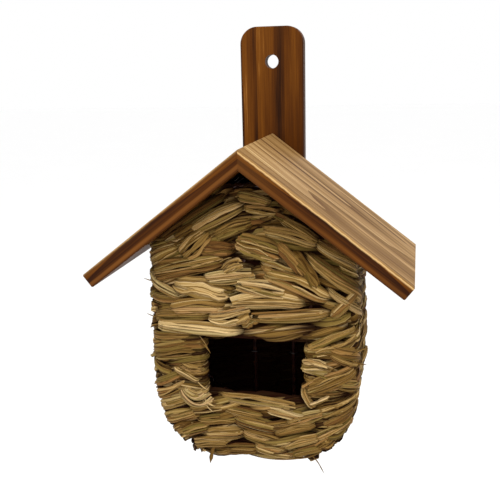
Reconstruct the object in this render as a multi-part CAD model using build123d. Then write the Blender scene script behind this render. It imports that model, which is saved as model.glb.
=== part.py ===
"""Bird house for a wall: carbonised wood board and roof, wire frame, walls twined from dry grass.

Millimetres. Origin: the hanging hole's axis at the board's wall face.
+X is to the right, -Y points out of the wall at the viewer, +Z is up.
"""
from build123d import *
import math
import os

# back board that hangs on the wall
board_width = 45.2
board_thickness = 10.0
board_above_hole = 24.1
board_below_hole = 246.0
board_corner_radius = 12.0
board_edge_radius = 0.8
hang_hole_radius = 4.8

# roof of two boards, mitred at the ridge
ridge_below_hole = 50.3
roof_pitch = 37.6
roof_half_span = 103.7
roof_depth = 112.0
roof_thickness = 10.0
roof_edge_radius = 1.0

# basket: outer shape and wall of twined grass
basket_half_width = 68.5
basket_taper = 4.0
basket_depth = 92.0
basket_below_ridge = 210.0
basket_wall = 9.0
basket_corner_radius = 12.0
bottom_side_radius = 45.0
bottom_front_radius = 12.0
upper_courses = 9
side_courses = 4
base_courses = 4
floor_courses = 4
weave_below_ridge = 25.0

# entrance in the front wall
entrance_left = -30.0
entrance_width = 65.0
entrance_below_ridge = 125.0
entrance_height = 40.0

# wire frame inside the grass
wire_radius = 1.6
wire_inset = 7.2
arch_radius = 40.0
hoop_shoulder_radius = 6.0
rib_count = 2
jamb_distance = 4.0
centre_stake_x = -4.0
back_stake_x = 15.0
stake_end_cover = 2.0
eave_rail_drop = 4.0

# fasteners
nail_radius = 0.9
nail_length = 32.0
nail_head_radius = 2.0
nail_head_height = 1.0
nail_spacings = (8.0, 17.0)
staple_radius = 0.6
staple_bend_radius = 1.2
staple_bite = 6.0
roof_staple_shares = (0.4, 0.7)
back_staple_drops = (90.0, 165.0)

# fits
clearance = 0.15
contact_gap = 0.05

slope = math.radians(roof_pitch)
slope_run = math.cos(slope)
slope_fall = math.sin(slope)
slope_ratio = math.tan(slope)
ridge_z = -ridge_below_hole
floor_z = ridge_z - basket_below_ridge
back_y = -board_thickness
front_y = back_y - basket_depth
underside_apex_z = ridge_z - roof_thickness / slope_run
hoop_x = basket_half_width - wire_inset
hoop_front_y = front_y + wire_inset
hoop_back_y = back_y - wire_inset
hoop_bottom_z = floor_z + wire_inset
wire_drop = (wire_radius + contact_gap) / slope_run
weave_gap = 2 * wire_radius + 2 * staple_radius + 3 * clearance
entrance_right = entrance_left + entrance_width
entrance_top_z = ridge_z - entrance_below_ridge
entrance_bottom_z = entrance_top_z - entrance_height
weave_top_z = ridge_z - weave_below_ridge
jamb_left_x = entrance_left - jamb_distance
jamb_right_x = entrance_right + jamb_distance


def underside_z(x):
    """Height of the roof's underside above a place x."""
    return underside_apex_z - abs(x) * slope_ratio


def arch_z(x):
    """Height of a hoop's centre line under the roof: two slopes joined by an arc at the ridge."""
    arc_centre_z = underside_apex_z - wire_drop - arch_radius / slope_run
    if abs(x) < arch_radius * slope_fall:
        return arc_centre_z + math.sqrt(arch_radius**2 - x**2)
    return underside_z(x) - wire_drop


def prism_y(points, radii, y_low, y_high):
    """Solid with an X-Z outline, rounded by one radius per corner, between two Y planes."""
    outline = FilletPolyline(*[(x, y_high, z) for x, z in points], radius=radii, close=True)
    return extrude(make_face(outline), amount=y_high - y_low, dir=(0, -1, 0))


def prism_z(points, radii, z_low, z_high):
    """Solid with an X-Y outline, rounded by one radius per corner, between two Z planes."""
    outline = FilletPolyline(*[(x, y, z_low) for x, y in points], radius=radii, close=True)
    return extrude(make_face(outline), amount=z_high - z_low, dir=(0, 0, 1))


def prism_x(points, radii, x_low, x_high):
    """Solid with a Y-Z outline, rounded by one radius per corner, between two X planes."""
    outline = FilletPolyline(*[(x_low, y, z) for y, z in points], radius=radii, close=True)
    return extrude(make_face(outline), amount=x_high - x_low, dir=(1, 0, 0))


def block(x_low, x_high, y_low, y_high, z_low, z_high):
    """Plain box between six planes."""
    centre = ((x_low + x_high) / 2, (y_low + y_high) / 2, (z_low + z_high) / 2)
    return Location(centre) * Box(x_high - x_low, y_high - y_low, z_high - z_low)


def wire(points, radii, radius, closed=False):
    """Bent wire along straight runs and arcs, with a round section."""
    path = FilletPolyline(*points, radius=radii, close=closed)
    section = Plane(origin=path @ 0, z_dir=path % 0) * Circle(radius)
    return sweep(section, path=path.wire())


def rod(start, end, radius):
    """Straight round rod between two points."""
    run = Vector(*end) - Vector(*start)
    return extrude(Plane(origin=start, z_dir=run) * Circle(radius), amount=run.length)


# ---------------------------------------------------------------- frame wires

def hoop(y, radius):
    """Closed hoop in a wall: arch under the roof, two straight sides, and rounded bottom corners."""
    shoulder_z = underside_z(hoop_x) - wire_drop
    corner = bottom_side_radius - wire_inset
    points = [
        (0, y, hoop_bottom_z),
        (hoop_x, y, hoop_bottom_z),
        (hoop_x, y, shoulder_z),
        (0, y, underside_apex_z - wire_drop),
        (-hoop_x, y, shoulder_z),
        (-hoop_x, y, hoop_bottom_z),
    ]
    radii = [0, corner, hoop_shoulder_radius, arch_radius, hoop_shoulder_radius, corner]
    return wire(points, radii, radius, closed=True)


def rib(y, radius):
    """U-shaped rib from one eave rail, under the floor, to the other."""
    corner = bottom_side_radius - wire_inset
    top_z = eave_rail_z - wire_radius - contact_gap
    points = [
        (-hoop_x, y, top_z),
        (-hoop_x, y, hoop_bottom_z),
        (hoop_x, y, hoop_bottom_z),
        (hoop_x, y, top_z),
    ]
    return wire(points, [corner, corner], radius)


eave_rail_z = underside_z(hoop_x) - wire_drop - eave_rail_drop - hoop_shoulder_radius / 2
rail_front_y = hoop_front_y + wire_radius + contact_gap
rail_back_y = hoop_back_y - wire_radius - contact_gap
rib_spacing = (hoop_back_y - hoop_front_y) / (rib_count + 1)


def stake(x, y, radius, low_z, high_z):
    """Upright wire of the frame."""
    return rod((x, y, low_z), (x, y, high_z), radius)


def stake_foot_z(x):
    """Foot of a stake that stands on a hoop's bottom run or on its rounded corner, cut level."""
    corner = bottom_side_radius - wire_inset
    past = abs(x) + wire_radius - (hoop_x - corner)
    rise = math.asin(max(past, 0) / corner)
    return hoop_bottom_z + corner * (1 - math.cos(rise)) + (wire_radius + contact_gap) / math.cos(rise)


def stake_head_z(x):
    """Top of a stake that meets the arch, cut level just under it."""
    reach = abs(x) + wire_radius
    return arch_z(reach) - (wire_radius + contact_gap) / slope_run


def frame_wires(grow):
    """All the wires by name, thicker by grow for the channels that they leave in the grass."""
    r = wire_radius + grow
    wires = {
        "front_hoop": hoop(hoop_front_y, r),
        "back_hoop": hoop(hoop_back_y, r),
        "ridge_rod": rod((0, rail_front_y, arch_z(0)), (0, rail_back_y, arch_z(0)), r),
    }
    for side, x in (("left", -hoop_x), ("right", hoop_x)):
        wires[f"eave_rail_{side}"] = rod((x, rail_front_y, eave_rail_z), (x, rail_back_y, eave_rail_z), r)
    for i in range(rib_count):
        wires[f"floor_rib_{i + 1}"] = rib(hoop_front_y + (i + 1) * rib_spacing, r)
    for side, x in (("left", jamb_left_x), ("right", jamb_right_x)):
        wires[f"jamb_stake_{side}"] = stake(x, hoop_front_y, r, stake_foot_z(x), stake_head_z(x))
    for side, x in (("left", -back_stake_x), ("right", back_stake_x)):
        wires[f"back_stake_{side}"] = stake(x, hoop_back_y, r, stake_foot_z(x), stake_head_z(x))
    wires["centre_stake_upper"] = stake(
        centre_stake_x, hoop_front_y, r, entrance_top_z + stake_end_cover, stake_head_z(centre_stake_x)
    )
    wires["centre_stake_lower"] = stake(
        centre_stake_x, hoop_front_y, r, stake_foot_z(centre_stake_x), entrance_bottom_z - stake_end_cover
    )
    return wires


# ------------------------------------------------------------------ fasteners

staple_half_width = wire_radius + staple_radius + clearance
staple_crown_drop = 2 * wire_radius + contact_gap + clearance + staple_radius


def staple(plane, depth, radius):
    """Round-wire staple: its crown lies across local -Y, its legs run along local +Y."""
    half = staple_half_width
    outline = [(-half, depth), (-half, -staple_crown_drop), (half, -staple_crown_drop), (half, depth)]
    points = [plane.from_local_coords(Vector(a, b, 0)) for a, b in outline]
    return wire(points, staple_bend_radius, radius)


def roof_staples(radius, side):
    """Staples over both arches into one roof board, between jamb and corner; side is 1 or -1."""
    jamb_x = jamb_right_x if side > 0 else -jamb_left_x
    staples = []
    for y in (hoop_front_y, hoop_back_y):
        for share in roof_staple_shares:
            x = jamb_x + (hoop_x - jamb_x) * share + staple_crown_drop * slope_fall
            plane = Plane(
                origin=(side * x, y, underside_z(x)),
                x_dir=(0, 1, 0),
                z_dir=(slope_run, 0, -side * slope_fall),
            )
            staples.append(staple(plane, staple_bite, radius))
    return staples


def back_staples(radius):
    """Staples over the two back stakes into the back board."""
    staples = []
    stand_off = wire_inset - wire_radius - contact_gap
    for x in (-back_stake_x, back_stake_x):
        for drop in back_staple_drops:
            plane = Plane(origin=(x, back_y - stand_off, ridge_z - drop), x_dir=(1, 0, 0), z_dir=(0, 0, 1))
            staples.append(staple(plane, stand_off + staple_bite, radius))
    return staples


def roof_nails():
    """Nails through the back board into the back ends of the roof boards, heads flush with the wall face."""
    nails = []
    for side in (-1, 1):
        for x in nail_spacings:
            z = ridge_z - x * slope_ratio - roof_thickness / slope_run / 2
            shank = rod((side * x, 0, z), (side * x, -nail_length, z), nail_radius)
            head = rod((side * x, 0, z), (side * x, -nail_head_height, z), nail_head_radius)
            nails.append(shank + head)
    return nails


# ----------------------------------------------------------------- wood parts

def back_board(nails, staples):
    """Upright board with rounded top corners, the hanging hole, and holes for its fasteners."""
    half = board_width / 2
    points = [
        (-half, -board_below_hole),
        (half, -board_below_hole),
        (half, board_above_hole),
        (-half, board_above_hole),
    ]
    radii = [0, 0, board_corner_radius, board_corner_radius]
    board = prism_y(points, radii, back_y, 0)
    board = fillet(board.edges(), board_edge_radius)
    board -= rod((0, back_y - 1, 0), (0, 1, 0), hang_hole_radius)
    for fastener in nails + staples:
        board -= fastener
    return board


def roof_board(side, nails, staples):
    """One slope of the roof: mitred on the ridge plane, its lower end cut square to the slope."""
    eave_z = ridge_z - roof_half_span * slope_ratio
    points = [
        (0, ridge_z),
        (side * roof_half_span, eave_z),
        (side * (roof_half_span - roof_thickness * slope_fall), eave_z - roof_thickness * slope_run),
        (0, underside_apex_z),
    ]
    board = prism_y(points, [0, 0, 0, 0], back_y - roof_depth, back_y)
    rounded = [e for e in board.edges() if abs((e @ 0).X) + abs((e @ 1).X) > clearance]
    board = fillet(rounded, roof_edge_radius)
    for fastener in nails + staples:
        board -= fastener
    return board


# --------------------------------------------------------------- grass courses

def basket_form(inset):
    """Outer shape of the basket, moved inwards by inset: what three outlines have in common."""
    top_x = basket_half_width - inset
    low_x = basket_half_width - basket_taper - inset
    near_y = front_y + inset
    far_y = back_y - inset
    low_z = floor_z + inset
    corner = max(basket_corner_radius - inset, clearance)
    plan = [(-top_x, near_y), (top_x, near_y), (top_x, far_y), (-top_x, far_y)]
    front = [(-low_x, low_z), (low_x, low_z), (top_x, ridge_z), (-top_x, ridge_z)]
    side = [(near_y, low_z), (far_y, low_z), (far_y, ridge_z), (near_y, ridge_z)]
    side_corner = max(bottom_side_radius - inset, clearance)
    front_corner = max(bottom_front_radius - inset, clearance)
    form = prism_z(plan, [corner] * 4, low_z, ridge_z)
    form &= prism_y(front, [side_corner, side_corner, 0, 0], near_y, far_y)
    form &= prism_x(side, [front_corner, 0, 0, 0], -top_x, top_x)
    return form


def under_roof():
    """Space that the grass may fill under the roof, the arches and their staples."""
    apex_z = underside_apex_z - weave_gap / slope_run
    reach = 2 * basket_half_width
    points = [(0, apex_z), (reach, apex_z - reach * slope_ratio), (reach, floor_z - basket_wall),
              (-reach, floor_z - basket_wall), (-reach, apex_z - reach * slope_ratio)]
    apex_radius = arch_radius - (weave_gap - wire_radius - contact_gap)
    return prism_y(points, [apex_radius, 0, 0, 0, 0], front_y - basket_wall, back_y)


def course_levels():
    """Heights between courses, from the top of the weave to the floor."""
    bands = [
        (weave_top_z, entrance_top_z, upper_courses),
        (entrance_top_z, entrance_bottom_z, side_courses),
        (entrance_bottom_z, floor_z, base_courses),
    ]
    levels = [weave_top_z]
    for high, low, count in bands:
        levels += [high - (high - low) * (i + 1) / count for i in range(count)]
    return levels


def gable_courses():
    """How many upper courses end above the side walls, so that only their front and back are left."""
    side_top_z = underside_z(basket_half_width - basket_wall) - 2 * wire_radius
    return sum(low > side_top_z for low in course_levels()[1 : upper_courses + 1])


def course_name(i):
    """Name of a full course, counted down from the roof."""
    if i < upper_courses:
        return f"wall_course_{i - gable_courses() + 1}"
    if i < upper_courses + side_courses:
        return f"side_course_{i - upper_courses + 1}"
    return f"base_course_{i - upper_courses - side_courses + 1}"


def without(solid, cutters):
    """Solid with channels cut for each wire or staple whose box reaches it."""
    box = solid.bounding_box()
    for cutter in cutters:
        other = cutter.bounding_box()
        overlaps = (
            getattr(box.min, axis) <= getattr(other.max, axis)
            and getattr(box.max, axis) >= getattr(other.min, axis)
            for axis in "XYZ"
        )
        if all(overlaps):
            solid -= cutter
    return solid


def grass_courses(cutters):
    """Every course of the basket by name."""
    floor_half_x = basket_half_width - basket_taper - bottom_side_radius
    floor_near_y = front_y + bottom_front_radius
    floor_top_z = floor_z + basket_wall
    wall = (basket_form(0) - basket_form(basket_wall)) & under_roof()
    wall_inner_y = front_y + basket_wall
    wall -= block(
        entrance_left, entrance_right, front_y - 1, wall_inner_y + 1, entrance_bottom_z, entrance_top_z
    )
    floor_pan = block(-floor_half_x, floor_half_x, floor_near_y, back_y, floor_z - 1, floor_top_z)
    floor_slab = wall & floor_pan
    wall -= floor_pan
    middle_y = (front_y + back_y) / 2
    reach = basket_half_width + 1
    courses = {}
    levels = course_levels()
    for i, (high, low) in enumerate(zip(levels, levels[1:])):
        if i < gable_courses():
            front_band = block(-reach, reach, front_y - 1, middle_y, low, high)
            back_band = block(-reach, reach, middle_y, back_y, low, high)
            courses[f"gable_course_front_{i + 1}"] = without(wall & front_band, cutters)
            courses[f"gable_course_back_{i + 1}"] = without(wall & back_band, cutters)
        else:
            band = block(-reach, reach, front_y - 1, back_y, low, high)
            courses[course_name(i)] = without(wall & band, cutters)
    width = 2 * floor_half_x / floor_courses
    for i in range(floor_courses):
        left = -floor_half_x + i * width
        strip = block(left, left + width, front_y, back_y, floor_z - 1, floor_top_z)
        courses[f"floor_course_{i + 1}"] = without(floor_slab & strip, cutters)
    return courses


# ------------------------------------------------------------------- assembly

def write(name, *solids):
    """One STEP file for one node."""
    shape = solids[0] if len(solids) == 1 else Compound(children=list(solids))
    export_step(shape, f"parts/{name}.step")


os.makedirs("parts", exist_ok=True)
nails = roof_nails()
staples_right = roof_staples(staple_radius, 1)
staples_left = roof_staples(staple_radius, -1)
board_staples = back_staples(staple_radius)
write("back_board", back_board(nails, board_staples))
write("roof_board_left", roof_board(-1, nails, staples_left))
write("roof_board_right", roof_board(1, nails, staples_right))
write("roof_nails", *nails)
write("roof_staples", *staples_left, *staples_right)
write("back_staples", *board_staples)
for name, solid in frame_wires(0).items():
    write(name, solid)
channels = list(frame_wires(clearance).values()) + back_staples(staple_radius + clearance)
for name, solid in grass_courses(channels).items():
    write(name, solid)
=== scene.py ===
"""Bird house for a wall, in metres: carbonised wood board and roof, walls twined from dry sea grass.

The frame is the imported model: origin at the hanging hole on the wall face, -Y towards the viewer, +Z up.
"""
import math

import bpy
import numpy as np
from mathutils import Matrix, Vector


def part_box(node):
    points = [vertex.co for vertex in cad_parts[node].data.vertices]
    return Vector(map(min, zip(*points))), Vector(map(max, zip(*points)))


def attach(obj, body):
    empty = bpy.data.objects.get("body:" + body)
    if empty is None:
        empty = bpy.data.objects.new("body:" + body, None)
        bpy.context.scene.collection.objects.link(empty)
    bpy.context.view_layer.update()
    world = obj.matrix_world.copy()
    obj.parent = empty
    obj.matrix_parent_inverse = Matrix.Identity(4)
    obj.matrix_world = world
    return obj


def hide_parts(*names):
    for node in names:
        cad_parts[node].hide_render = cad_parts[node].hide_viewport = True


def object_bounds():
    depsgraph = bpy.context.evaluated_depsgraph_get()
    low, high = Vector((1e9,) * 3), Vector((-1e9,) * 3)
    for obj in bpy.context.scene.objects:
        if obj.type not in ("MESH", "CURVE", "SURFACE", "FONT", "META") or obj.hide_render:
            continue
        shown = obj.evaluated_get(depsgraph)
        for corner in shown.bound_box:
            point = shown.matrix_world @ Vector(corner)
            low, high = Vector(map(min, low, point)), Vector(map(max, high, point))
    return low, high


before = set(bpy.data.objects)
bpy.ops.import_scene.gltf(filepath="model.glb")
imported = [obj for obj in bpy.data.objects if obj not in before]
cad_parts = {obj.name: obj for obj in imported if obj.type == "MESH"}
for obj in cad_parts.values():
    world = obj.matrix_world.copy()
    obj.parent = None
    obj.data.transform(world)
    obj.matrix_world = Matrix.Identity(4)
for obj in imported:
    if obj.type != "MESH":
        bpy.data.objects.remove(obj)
cad_box = [list(corner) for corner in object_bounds()]
scene = bpy.context.scene

# ---------------------------------------------------------------------------------------------
# Studio: a camera a little to the right and above, looking down on the front; a pale floor that
# runs out of sight, a white room, and large soft lights.
# ---------------------------------------------------------------------------------------------
mm = 0.001
camera_place = (102.1 * mm, -546.0 * mm, -5.3 * mm)
camera_yaw = math.radians(12.73)
camera_dip = math.radians(13.56)
camera_roll = math.radians(-1.36)
lens_length = 53.8


def aim(yaw, dip, roll):
    """Rotation of a camera that looks along +Y, turned left by yaw, down by dip, and then rolled."""
    ahead = Vector((-math.sin(yaw) * math.cos(dip), math.cos(yaw) * math.cos(dip), -math.sin(dip)))
    right = Vector((math.cos(yaw), math.sin(yaw), 0))
    up = right.cross(ahead)
    right_rolled = math.cos(roll) * right + math.sin(roll) * up
    up_rolled = math.cos(roll) * up - math.sin(roll) * right
    return Matrix((right_rolled, up_rolled, -ahead)).transposed()


camera_data = bpy.data.cameras.new("camera")
camera_data.lens = lens_length
camera_data.sensor_width = 36.0
camera_data.clip_start = 20 * mm
camera = bpy.data.objects.new("camera", camera_data)
camera_turn = aim(camera_yaw, camera_dip, camera_roll).to_4x4()
camera.matrix_world = Matrix.Translation(camera_place) @ camera_turn
scene.collection.objects.link(camera)
scene.camera = camera
scene.view_settings.view_transform = "Standard"


def soft_light(name, place, target, size, power, colour):
    """Square area light at a place, facing a target."""
    data = bpy.data.lights.new(name, "AREA")
    data.size = size
    data.energy = power
    data.color = colour
    light = bpy.data.objects.new(name, data)
    facing = (Vector(target) - Vector(place)).to_track_quat("-Z", "Y")
    light.matrix_world = Matrix.Translation(place) @ facing.to_matrix().to_4x4()
    scene.collection.objects.link(light)


middle = (0, -0.06, -0.13)
soft_light("key", (0.35, -0.75, 0.75), middle, 0.5, 9.0, (1.0, 0.97, 0.92))
soft_light("fill", (-0.8, -0.6, 0.35), middle, 0.7, 2.5, (0.96, 0.98, 1.0))

world = bpy.data.worlds.new("room")
world.use_nodes = True
world.node_tree.nodes["Background"].inputs["Color"].default_value = (1, 1, 1, 1)
world.node_tree.nodes["Background"].inputs["Strength"].default_value = 1.0
scene.world = world


class Socket:
    """A value on a surface. Sums and products of sockets and numbers add Math nodes to the material."""

    def __init__(self, finish, output):
        self.finish = finish
        self.output = output

    def math(self, operation, *values):
        inputs = dict(enumerate(values))
        return self.finish.node("Math", {"operation": operation}, inputs)

    def __add__(self, other):
        return self.math("ADD", self, other)

    def __sub__(self, other):
        return self.math("SUBTRACT", self, other)

    def __rsub__(self, other):
        return self.math("SUBTRACT", other, self)

    def __mul__(self, other):
        return self.math("MULTIPLY", self, other)

    def of(self, operation):
        """A Math node with one input, such as FRACT, of this value."""
        return self.math(operation, self)

    def dot(self, direction):
        """Distance along a direction."""
        settings = {"operation": "DOT_PRODUCT"}
        return self.finish.node("VectorMath", settings, {0: self, 1: direction}, out=1)

    __radd__ = __add__
    __rmul__ = __mul__


class Finish:
    """A material with one Principled shader, and short ways to add nodes to it."""

    def __init__(self, name, **constants):
        self.material = bpy.data.materials.new(name)
        self.material.use_nodes = True
        self.tree = self.material.node_tree
        self.shader = self.tree.nodes["Principled BSDF"]
        for socket, value in constants.items():
            self.shader.inputs[socket.replace("_", " ")].default_value = value

    def node(self, kind, settings, values, out=0):
        """Adds a node: first its settings, or a ramp's stops, then values or links for its sockets."""
        made = self.tree.nodes.new("ShaderNode" + kind)
        for name, value in settings.items():
            if name == "stops":
                self.set_stops(made.color_ramp, value)
            else:
                setattr(made, name, value)
        for name, value in values.items():
            self.set_input(made.inputs[name], value)
        return Socket(self, made.outputs[out])

    def set_stops(self, ramp, stops):
        """Places and colours of a colour ramp."""
        while len(ramp.elements) < len(stops):
            ramp.elements.new(0.5)
        for element, (place, colour) in zip(ramp.elements, stops):
            element.position = place
            element.color = (*colour, 1)

    def set_input(self, target, value):
        """Links a socket, or sets a number or colour."""
        if isinstance(value, Socket):
            self.tree.links.new(value.output, target)
        elif hasattr(value, "__len__") and len(target.default_value) > len(value):
            target.default_value = (*value, 1)
        else:
            target.default_value = value

    def object_place(self):
        """Object coordinates."""
        return self.node("TexCoord", {}, {}, out=3)

    def noise(self, vector, scale, detail=3.0, roughness=0.5):
        """Noise from 0 to 1."""
        sockets = {"Vector": vector, "Scale": scale, "Detail": detail, "Roughness": roughness}
        return self.node("TexNoise", {}, sockets)

    def smooth(self, value, low, high):
        """0 below low, 1 above high, smooth between them."""
        settings = {"interpolation_type": "SMOOTHSTEP"}
        return self.node("MapRange", settings, {"Value": value, "From Min": low, "From Max": high})

    def mix(self, factor, first, second):
        """Colour between two colours."""
        return self.node("Mix", {"data_type": "RGBA"}, {0: factor, 6: first, 7: second}, out=2)

    def ramp(self, value, stops):
        """Colour from a value by stops."""
        return self.node("ValToRGB", {"stops": stops}, {0: value})

    def together(self, x, y, z):
        """Vector of three values."""
        return self.node("CombineXYZ", {}, {0: x, 1: y, 2: z})

    def bump(self, height, strength, distance):
        """Normal from a height."""
        return self.node("Bump", {}, {"Height": height, "Strength": strength, "Distance": distance})

    def use(self, **links):
        """Feeds the shader's sockets that change over the surface, and returns the material."""
        for socket, value in links.items():
            self.set_input(self.shader.inputs[socket.replace("_", " ")], value)
        return self.material


def floor_finish():
    """Pale matt paper with a very faint mottle."""
    finish = Finish("pale_floor", Roughness=0.9)
    place = finish.object_place()
    stops = [(0.0, (0.985, 0.985, 0.985)), (1.0, (1.0, 1.0, 1.0))]
    return finish.use(Base_Color=finish.ramp(finish.noise(place, 3.0), stops))


def mesh_object(name, points, faces, material, smooth=True):
    """Object at the origin with a mesh of points and quads."""
    mesh = bpy.data.meshes.new(name)
    mesh.vertices.add(len(points))
    mesh.vertices.foreach_set("co", np.asarray(points, np.float32).ravel())
    mesh.loops.add(faces.size)
    mesh.loops.foreach_set("vertex_index", faces.astype(np.int32).ravel())
    mesh.polygons.add(len(faces))
    mesh.polygons.foreach_set("loop_start", np.arange(len(faces), dtype=np.int32) * faces.shape[1])
    mesh.polygons.foreach_set("use_smooth", np.full(len(faces), smooth))
    mesh.update(calc_edges=True)
    mesh.validate()
    mesh.materials.append(material)
    made = bpy.data.objects.new(name, mesh)
    scene.collection.objects.link(made)
    return made


floor_half = 12.0
floor_below = 0.35
floor_z = cad_box[0][2] - floor_below
floor_signs = ((-1, -1), (1, -1), (1, 1), (-1, 1))
floor_points = [(x * floor_half, y * floor_half, floor_z) for x, y in floor_signs]
floor = mesh_object("floor", floor_points, np.array([[0, 1, 2, 3]]), floor_finish(), smooth=False)

# ---------------------------------------------------------------------------------------------
# Boards: softwood scorched with a torch and waxed. The back board's grain runs up and down, the
# roof boards' from ridge to eave; winter wood stands proud as dark lines, edges are darker.
# ---------------------------------------------------------------------------------------------
ridge_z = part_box("roof_board_right")[1].z
roof_pitch = math.radians(37.6)
board_low, board_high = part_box("back_board")


def wood_tone(finish, run, side, deep, lines, wander, stops):
    """Colour, and height for a bump, of planed softwood with its year rings as one-sided lines.

    run, side and deep are distances along, across and through the board; lines are rings per metre.
    """
    drift = finish.noise(finish.together(run * 3.0, side * 24.0, deep * 24.0), 1.0, 1.5)
    year = (side * lines + deep * lines * 0.6 + drift * wander).of("FRACT")
    late = year * year
    fibre = finish.noise(finish.together(run * 30.0, side * 1100.0, deep * 1100.0), 1.0, 4.0, 0.6)
    streak = finish.noise(finish.together(run * 7.0, side * 260.0, deep * 260.0), 1.0, 3.0, 0.55)
    cloud = finish.noise(finish.together(run * 16.0, side * 45.0, deep * 45.0), 1.0, 3.0)
    value = late * 0.38 + fibre * 0.5 + streak * 1.0 + cloud * 0.35 - 0.60
    return finish.ramp(value, stops), fibre * 0.6 + late * 0.6 + streak * 0.4


def roof_finish(name, side_sign):
    """Roof board: top pale where the scorching was brushed off, edges dark, top arris worn to gold, a
    painted highlight line low on the front edge.
    """
    finish = Finish(name, Specular_IOR_Level=0.06)
    place = finish.object_place()
    cos, sin = math.cos(roof_pitch), math.sin(roof_pitch)
    run = place.dot((side_sign * cos, 0, -sin))
    side = place.dot((0, 1, 0))
    deep = place.dot((side_sign * sin, 0, cos))
    top = ridge_z * cos
    pale = [
        (0.06, (0.62, 0.43, 0.205)),
        (0.26, (0.36, 0.215, 0.085)),
        (0.52, (0.215, 0.115, 0.036)),
        (0.85, (0.085, 0.034, 0.010)),
    ]
    dark = [(0.05, (0.19, 0.068, 0.009)), (0.38, (0.085, 0.025, 0.002)), (0.8, (0.024, 0.006, 0.001))]
    face, relief = wood_tone(finish, run, side, deep, 38.0, 7.0, pale)
    edge = wood_tone(finish, run, deep, side, 90.0, 3.0, dark)[0]
    right = side_sign > 0
    brushed_ridge, painted_highlight_share, worn_arris = (0.08, 0.15, 0.75) if right else (0.0, 0.4, 0.05)
    start = ridge_z * -sin
    near_ridge = 1 - finish.smooth(run, start + 4 * mm, start + 52 * mm)
    edge = finish.mix(near_ridge * brushed_ridge, edge, (0.30, 0.13, 0.030))
    # painted highlight: a lighter line 6 to 9 mm below the top, along the lower edge of the front face,
    # stronger on the left board
    highlight_line_top = finish.smooth(deep, top - 6.2 * mm, top - 7.2 * mm)
    highlight_line_bottom = finish.smooth(deep, top - 9.4 * mm, top - 8.2 * mm)
    edge = finish.mix(highlight_line_top * highlight_line_bottom * painted_highlight_share, edge, (0.20, 0.075, 0.016))
    wear = finish.noise(place, 120.0, 5.0, 0.7) * (1.6 * mm)
    below_top = finish.smooth(deep + wear, top - 0.4 * mm, top + 0.4 * mm)
    near_top = finish.smooth(deep + wear, top - 1.4 * mm, top - 0.1 * mm)
    colour = finish.mix(near_top * worn_arris, edge, (0.80, 0.52, 0.22))
    colour = finish.mix(below_top, colour, face)
    bump = finish.bump(relief, 0.3, 0.5 * mm)
    return finish.use(Base_Color=colour, Roughness=0.42 + relief * 0.15, Normal=bump)


def back_finish(name):
    """Back board: grain up and down, scorched most at its edges."""
    finish = Finish(name, Specular_IOR_Level=0.06)
    place = finish.object_place()
    stops = [
        (0.02, (0.34, 0.15, 0.032)),
        (0.20, (0.130, 0.041, 0.003)),
        (0.50, (0.070, 0.019, 0.001)),
        (0.85, (0.018, 0.005, 0.001)),
    ]
    side = place.dot((1, 0, 0))
    face, relief = wood_tone(finish, place.dot((0, 0, 1)), side, place.dot((0, 1, 0)), 70.0, 5.0, stops)
    half = board_high.x
    edge = finish.smooth(side.of("ABSOLUTE"), half - 2.2 * mm, half - 0.2 * mm)
    colour = finish.mix(edge * 0.75, face, (0.022, 0.007, 0.003))
    bump = finish.bump(relief, 0.3, 0.5 * mm)
    return finish.use(Base_Color=colour, Roughness=0.40 + relief * 0.15, Normal=bump)


def refinish(node, material):
    """Gives a CAD node its material."""
    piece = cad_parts[node]
    piece.data.materials.clear()
    piece.data.materials.append(material)


refinish("back_board", back_finish("back_board_wood"))
refinish("roof_board_right", roof_finish("roof_board_wood_right", 1))
refinish("roof_board_left", roof_finish("roof_board_wood_left", -1))

# ---------------------------------------------------------------------------------------------
# Wire frame and fasteners: iron wire dipped in dark red-brown lacquer, rusted where it is thin;
# nails and staples of browned steel.
# ---------------------------------------------------------------------------------------------


def wire_finish():
    """Dark red-brown lacquer with rust spots."""
    finish = Finish("frame_wire")
    place = finish.object_place()
    rust = finish.smooth(finish.noise(place, 300.0, 4.0, 0.6), 0.5, 0.7)
    colour = finish.mix(rust, (0.045, 0.010, 0.006), (0.12, 0.035, 0.012))
    bump = finish.bump(finish.noise(place, 900.0), 0.3, 0.2 * mm)
    return finish.use(Base_Color=colour, Roughness=0.35 + rust * 0.4, Normal=bump)


def fastener_finish():
    """Steel browned by lacquer and weather, with fine scratches."""
    finish = Finish("browned_steel", Metallic=0.9)
    place = finish.object_place()
    grain = finish.noise(place, 700.0, 4.0, 0.7)
    colour = finish.ramp(grain, [(0.3, (0.10, 0.085, 0.075)), (0.7, (0.22, 0.20, 0.19))])
    bump = finish.bump(grain, 0.2, 0.1 * mm)
    return finish.use(Base_Color=colour, Roughness=0.35 + grain * 0.25, Normal=bump)


wire_material = wire_finish()
fastener_material = fastener_finish()
hoops_and_rods = ("front_hoop", "back_hoop", "ridge_rod", "eave_rail", "floor_rib")
wire_stakes = ("jamb_stake", "back_stake", "centre_stake")
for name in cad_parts:
    if name.startswith(hoops_and_rods + wire_stakes):
        refinish(name, wire_material)
for name in ("roof_nails", "roof_staples", "back_staples"):
    refinish(name, fastener_material)

# ---------------------------------------------------------------------------------------------
# Grass walls: bundles of flat dry leaves, twined in pairs round the frame's wires. Each course is
# one piece. Leaves are thin closed strips; lengths here are millimetres until the mesh is made.
# ---------------------------------------------------------------------------------------------
# the wall and the wires that it is twined round
ridge_mm = ridge_z / mm
wall_middle = 4.5
back_face = board_low.y / mm
front_face = -102.0
hoop_x = 61.3
hoop_y = -94.8
rib_places = (-43.1, -68.9)
back_wire_y = -17.2
centre_x = -4.0
jamb_left, jamb_right = -34.0, 39.0
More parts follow.
